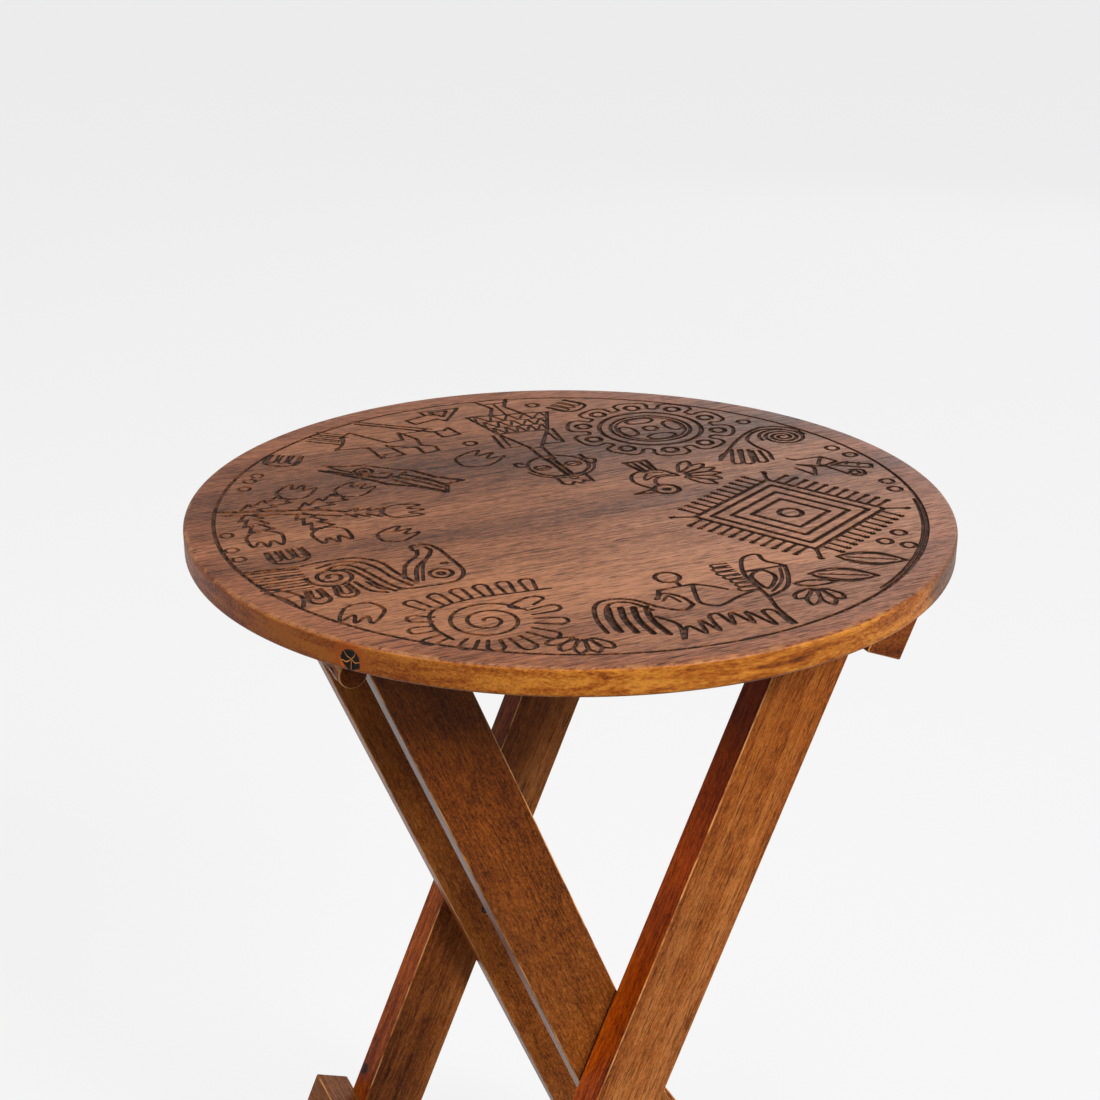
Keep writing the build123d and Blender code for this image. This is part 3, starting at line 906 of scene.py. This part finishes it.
def along(points, step):
    """Points every step mm or so along a line, its corners kept where runs are long."""
    lengths = np.hypot(*np.diff(points, axis=0).T)
    travel = np.concatenate(([0.0], np.cumsum(lengths)))
    if lengths.mean() < 2.5:
        marks = np.linspace(0, travel[-1], max(2, round(travel[-1] / step) + 1))
    else:
        runs = []
        for a, b in zip(travel, travel[1:]):
            count = max(2, round((b - a) / step / 1.8) + 1)
            runs.append(np.linspace(a, b, count)[:-1])
        marks = np.concatenate(runs + [travel[-1:]])
    return np.column_stack([np.interp(marks, travel, points[:, k]) for k in (0, 1)])


def groove_points(step=0.9, sharp=0.35):
    """Candidate mesh points (x, y, share of the half width) over all grooves.

    Ends and bends of more than sharp radians get rings of points round them.
    """
    found = []

    def add(points, share):
        found.append(np.column_stack((points, np.full(len(points), share))))

    for points, width in strokes:
        line = along(points, step)
        way = np.gradient(line, axis=0)
        way /= np.maximum(np.hypot(*way.T), 1e-9)[:, None]
        side = np.column_stack((-way[:, 1], way[:, 0])) * width / 2
        add(line, 0.0)
        for share in (FLOOR, 1.0):
            for left_or_right in (-1, 1):
                add(line + side * share * left_or_right, share)
        heading = np.unwrap(np.arctan2(way[:, 1], way[:, 0]))
        bends = np.nonzero(np.abs(np.diff(heading)) > sharp)[0]
        corners = line[np.unique(np.concatenate(([0, len(line) - 1], bends, bends + 1)))]
        for share in (FLOOR, 1.0):
            reach = width / 2 * share
            for a in np.linspace(0, 2 * pi, 10)[:-1]:
                add(corners + np.array((reach * cos(a), reach * sin(a))), share)
    return np.vstack(found)


class GrooveField:
    """How far any place on the top is from the nearest groove's middle."""

    def __init__(self):
        lines = [(along(points, 0.25), width) for points, width in strokes]
        self.half = np.concatenate([np.full(len(line), width / 2) for line, width in lines])
        self.tree = KDTree(len(self.half))
        for i, (x, y) in enumerate(np.vstack([line for line, _ in lines])):
            self.tree.insert((x, y, 0), i)
        self.tree.balance()

    def share(self, points):
        """(distance in half widths, half width) of each point's nearest groove."""
        hits = [self.tree.find((x, y, 0)) for x, y in points]
        half = self.half[[hit[1] for hit in hits]]
        return np.array([hit[2] for hit in hits]) / half, half


def plain_points(field, spacing=7.0, clear=2.6):
    """A triangular grid over the face, clear of the grooves' middles."""
    span = np.arange(-196, 197, spacing)
    gx, gy = np.meshgrid(span, span)
    gx = gx + np.where(np.arange(len(span)) % 2, spacing / 2, 0)[:, None]
    plain = np.column_stack((gx.ravel(), gy.ravel()))
    plain = plain[np.hypot(*plain.T) < 194]
    share, half = field.share(plain)
    return plain[share * half > clear]


def top_points(edge, slack=0.07, cell=0.22):
    """The top surface's points, grooves cut in, inside the ring of edge points."""
    field = GrooveField()
    grooves = groove_points()
    share, half = field.share(grooves[:, :2])
    # a point that lies deeper in a crossing groove than in its own is left out
    keep = share >= grooves[:, 2] - slack
    grooves, share, half = grooves[keep], share[keep], half[keep]
    # one point to a cell
    cells = np.round(grooves[:, :2] / cell).astype(int)
    _, first = np.unique(cells, axis=0, return_index=True)
    first.sort()
    grooves, share, half = grooves[first], np.minimum(share[first], 1), half[first]
    depth = DEPTH * half * np.interp(share, (0, FLOOR, 1), (1, 0.95, 0))
    flat = np.vstack((plain_points(field), edge))
    points = np.vstack((grooves[:, :2], flat))
    return points, np.concatenate((-depth, np.zeros(len(flat))))


def rim_angles():
    """Angles round the rim in radians, close together at the knot."""
    knot = radians(KNOT_TURN)
    near = knot + np.arange(-9.0, 9.01, 0.4) / OUTER_RADIUS
    far = np.linspace(near[-1], near[0] + 2 * pi, 420)[1:-1]
    return np.concatenate((near, far))


def knot_depth(around, up):
    """How deep the rim's dead knot lies below the wall there: a pit with star cracks."""
    reach = np.hypot(around, up * 1.05) / KNOT_SIZE
    spin = 2.5 * np.arctan2(up, around) + 0.6 + 0.5 * np.sin(around)
    spokes = np.abs(np.sin(spin)) ** 0.6
    pit = np.clip((1 - reach) / 0.18, 0, 1)
    return pit * (0.35 + 0.9 * spokes * np.clip(1.15 - reach, 0, 1))


def rim_rows():
    """The rim's profile from the top's flat down to the underside: (inset, depth)."""
    thick = (TOP_Z - UNDERSIDE) / MM
    bow = np.radians(np.linspace(0, 90, 7))
    upper = [(ROUND * (1 - sin(a)), ROUND * (1 - cos(a))) for a in bow]
    wall = [(0.0, d) for d in np.linspace(ROUND, thick - ROUND, 26)[1:-1]]
    lower = [(inset, thick - depth) for inset, depth in reversed(upper)]
    return upper + wall + lower


def carved_face(angles, ways):
    """(verts, faces, ring) of the carved face: ring is its edge, in the angles' order."""
    points, heights = top_points(ways * (OUTER_RADIUS - ROUND))
    corners = [Vector(p) for p in points]
    flat, _, faces, origins, _, _ = delaunay_2d_cdt(corners, [], [], 0, 1e-5)
    source = [origin[0] for origin in origins]
    verts = [(p.x, p.y, heights[i]) for p, i in zip(flat, source)]
    place = {i: k for k, i in enumerate(source)}
    ring = [place[len(points) - len(angles) + k] for k in range(len(angles))]
    return verts, [tuple(face) for face in faces], ring


def add_rim(verts, faces, ring, angles, ways):
    """The rim's rows, one below another from ring down, and then the underside."""
    swing = (angles - radians(KNOT_TURN) + pi) % (2 * pi) - pi
    for inset, depth in rim_rows()[1:]:
        pit = knot_depth(swing * OUTER_RADIUS, KNOT_BELOW - depth)
        reach = OUTER_RADIUS - np.maximum(inset, pit)
        start = len(verts)
        verts += [(x * r, y * r, -depth) for (x, y), r in zip(ways, reach)]
        lower = list(range(start, len(verts)))
        quads = zip(ring, ring[1:] + ring[:1], lower, lower[1:] + lower[:1])
        faces += [(a, c, d, b) for a, b, c, d in quads]
        ring = lower
    faces.append(tuple(reversed(ring)))


def shade(mesh, sharp=28):
    """Turns all faces outwards and shades over edges that bend by less than sharp degrees."""
    bm = bmesh.new()
    bm.from_mesh(mesh)
    bmesh.ops.recalc_face_normals(bm, faces=bm.faces)
    for face in bm.faces:
        face.smooth = True
    for edge in bm.edges:
        edge.smooth = edge.calc_face_angle(0) < radians(sharp)
    bm.to_mesh(mesh)
    bm.free()


def make_top():
    """The round top: carved face, rounded rim with its knot, and flat underside."""
    for carve in MOTIFS:
        carve()
    angles = rim_angles()
    ways = np.column_stack((np.cos(angles), np.sin(angles)))
    verts, faces, ring = carved_face(angles, ways)
    add_rim(verts, faces, ring, angles, ways)
    mesh = bpy.data.meshes.new("carved_top")
    mesh.from_pydata([(x * MM, y * MM, TOP_Z + z * MM) for x, y, z in verts], [], faces)
    shade(mesh)
    mesh.materials.append(top_material())
    top = bpy.data.objects.new("carved_top", mesh)
    scene.collection.objects.link(top)
    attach(top, "top")
    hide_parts("tabletop")


# ---- the top's finish, in metres --------------------------------------------------
def band(g, value, middle, half, strength):
    """A soft stripe of strength round middle, for darker and paler streaks."""
    away = g.math("ABSOLUTE", g.math("SUBTRACT", value, middle))
    return g.span(away, 0.0, half, strength, 0.0)


def top_timber(g, x, y, z):
    """(tone, fibre, pores) of the top, whose grain runs along X in broad streaks."""
    sway = g.noise(g.scaled(x, y, 0.0, (3.0, 5.0, 1.0)), 1.0, 2.0)
    level = g.math("ADD", y, g.about(sway, 0.05))
    tone, fibre, pores = wood_grain(g, x, y, z, 5.0, (0.05, -0.3), 0.65, 1.05)
    # middle and half width of each streak, and how much paler it is
    for middle, half, strength in (
        (-0.018, 0.016, -0.17),
        (0.074, 0.040, -0.22),
        (0.118, 0.012, -0.16),
        (0.014, 0.018, 0.20),
        (-0.085, 0.040, 0.16),
        (-0.150, 0.025, -0.10),
    ):
        tone = g.math("ADD", tone, band(g, level, middle, half, strength))
    return tone, fibre, pores


def outside_ring(g, x, y):
    """1 outside the border ring, 0 inside it; the ring's middle is a little off."""
    ring_place = g.join(g.math("ADD", x, 0.7 * MM), g.math("ADD", y, 1.6 * MM), 0.0)
    return g.span(g.vector("LENGTH", ring_place), 183.8 * MM, 185.0 * MM)


def rim_wood(g, face_colour, tone, pores, x, y, z):
    """The rim's timber: orange, browner at the left, and like the face at the right."""
    swirl = g.noise(g.scaled(x, y, z, (30.0, 30.0, 110.0)), 1.0, 4.0, 0.6, 1.2)
    tone = g.math("MULTIPLY_ADD", g.math("SUBTRACT", swirl, 0.48), 2.1, tone)
    colour = wood_colour(g, tone, g.math("MULTIPLY", pores, 0.4), RIM_TONES)
    colour = g.mix(g.span(x, -0.09, -0.19), colour, (0.66, 0.50, 0.35), "MULTIPLY")
    darker_face = g.mix(1.0, face_colour, (0.46, 0.50, 0.60), "MULTIPLY")
    return g.mix(g.span(x, 0.100, 0.120, 0.0, 0.85), colour, darker_face)


def rubbed_arris(g, place, x, out, normal_z):
    """Where the upper arris is rubbed paler: patchy, and not at the right."""
    rub = g.span(g.noise(place, 130.0, 3.0, 0.6), 0.45, 0.65)
    near_edge = g.span(out, RADIUS - 3.0 * MM, RADIUS - 1.2 * MM)
    arris = g.math("MULTIPLY", near_edge, g.span(normal_z, 0.15, 0.5))
    arris = g.math("MULTIPLY", arris, g.span(x, 0.16, 0.06))
    return g.math("MULTIPLY", g.math("MULTIPLY", arris, rub), 0.35)


def in_groove(g, z, out):
    """1 in the grooves, 0 on the face, the rim and the underside."""
    depth = g.math("DIVIDE", g.math("SUBTRACT", TOP_Z, z), MM)
    within = g.span(out, RADIUS - 11.5 * MM, RADIUS - 12.5 * MM)
    cut_in = g.math("MULTIPLY", g.span(depth, 0.05, 0.45), within)
    return g.math("MULTIPLY", cut_in, g.span(depth, 6.0, 4.0))


def burnt_wood(g, char, x, normal_z):
    """The grooves' wood: near black floors, and walls of random char with painted light that
    makes them browner to the left.
    """
    # the walls' brown share: random charring plus a painted lit-wall tint that grows towards the
    # left
    char_and_painted_wall_light = g.math("MULTIPLY_ADD", x, -0.5, char)
    brown_wall_char_and_light = g.span(char_and_painted_wall_light, 0.52, 0.68)
    wall = g.mix(brown_wall_char_and_light, (0.012, 0.005, 0.002), (0.120, 0.034, 0.007))
    ash = g.span(char, 0.42, 0.62)
    floor = g.mix(ash, (0.018, 0.008, 0.005), (0.066, 0.032, 0.020))
    return g.mix(g.span(normal_z, 0.80, 0.97), wall, floor)


def knot_marks(g, place):
    """(how far into the rim's knot, 1 at its middle; 1 at the rim there; its cracks)."""
    turn = radians(KNOT_TURN)
    around = g.vector("DOT_PRODUCT", place, (-sin(turn), cos(turn), 0))
    outward = g.vector("DOT_PRODUCT", place, (cos(turn), sin(turn), 0))
    up = g.math("SUBTRACT", g.split(place)["Z"], TOP_Z - KNOT_BELOW * MM)
    reach = g.vector("LENGTH", g.join(around, up, 0.0))
    inside = g.math("SUBTRACT", 1.0, g.math("DIVIDE", reach, KNOT_SIZE * MM))
    front = g.span(outward, 0.190, 0.196)
    spin = g.math("MULTIPLY_ADD", g.math("ARCTAN2", up, around), 2.5, 0.6)
    bend = g.math("MULTIPLY", g.math("SINE", g.math("DIVIDE", around, MM)), 0.5)
    spoke = g.math("ABSOLUTE", g.math("SINE", g.math("ADD", spin, bend)))
    cracks = g.span(g.math("MULTIPLY", spoke, reach), 0.9 * MM, 0.35 * MM)
    return inside, front, cracks


def rim_knot(g, colour, place, rim, char):
    """(colour, dead): the knot's red halo and black heart, dead being 1 in the heart."""
    inside, front, cracks = knot_marks(g, place)
    ragged = g.math("ADD", inside, g.about(char, 0.7))
    halo = g.math("MULTIPLY", g.span(ragged, -1.2, 0.0), g.math("MULTIPLY", rim, 0.85))
    colour = g.mix(halo, colour, (0.32, 0.062, 0.004))
    dead = g.math("MULTIPLY", g.span(ragged, 0.0, 0.12), front)
    heart = g.mix(cracks, (0.003, 0.002, 0.001), (0.46, 0.17, 0.04))
    return g.mix(dead, colour, heart), dead


def top_material():
    """Oiled hardwood with streaks along X, scorched grooves and an orange rim."""
    g = Graph("top_wood_finish")
    place = g.place()
    x, y, z = (g.split(place)[k] for k in "XYZ")
    out = g.vector("LENGTH", g.join(x, y, 0.0))
    normal_z = g.split(g.facing())["Z"]
    char = g.noise(place, 300.0, 3.0, 0.6)
    tone, fibre, pores = top_timber(g, x, y, z)
    colour = wood_colour(g, tone, pores, TOP_TONES)
    colour = g.mix(outside_ring(g, x, y), colour, (0.92, 0.84, 0.86), "MULTIPLY")
    at_rim = g.span(out, RADIUS - 2.5 * MM, RADIUS - 0.8 * MM)
    rim = g.math("MULTIPLY", at_rim, g.span(normal_z, 0.80, 0.40))
    colour = g.mix(rim, colour, rim_wood(g, colour, tone, pores, x, y, z))
    colour = g.mix(rubbed_arris(g, place, x, out, normal_z), colour, (0.42, 0.19, 0.06))
    groove = in_groove(g, z, out)
    colour = g.mix(groove, colour, burnt_wood(g, char, x, normal_z))
    colour, dead = rim_knot(g, colour, place, rim, char)
    rough = g.math("ADD", g.span(fibre, 0.3, 0.7, 0.50, 0.38), g.math("MULTIPLY", pores, 0.2))
    rough = g.math("ADD", rough, g.math("MULTIPLY", groove, 0.25))
    height = g.math("SUBTRACT", g.math("MULTIPLY", fibre, 0.5), pores)
    height = g.math("MULTIPLY", height, g.math("MULTIPLY_ADD", rim, -0.75, 1.0))
    g.oil(g.span(g.math("MAXIMUM", groove, dead), 0.0, 1.0, 0.08, 0.0), 0.3)
    return g.finish(colour, rough, g.bump(height, 0.18 * MM, 0.8), specular=0.12)


make_camera()
make_lights()
make_floor()
dress_legs()
dress_rails()
dress_fittings()
dress_steel()
make_top()
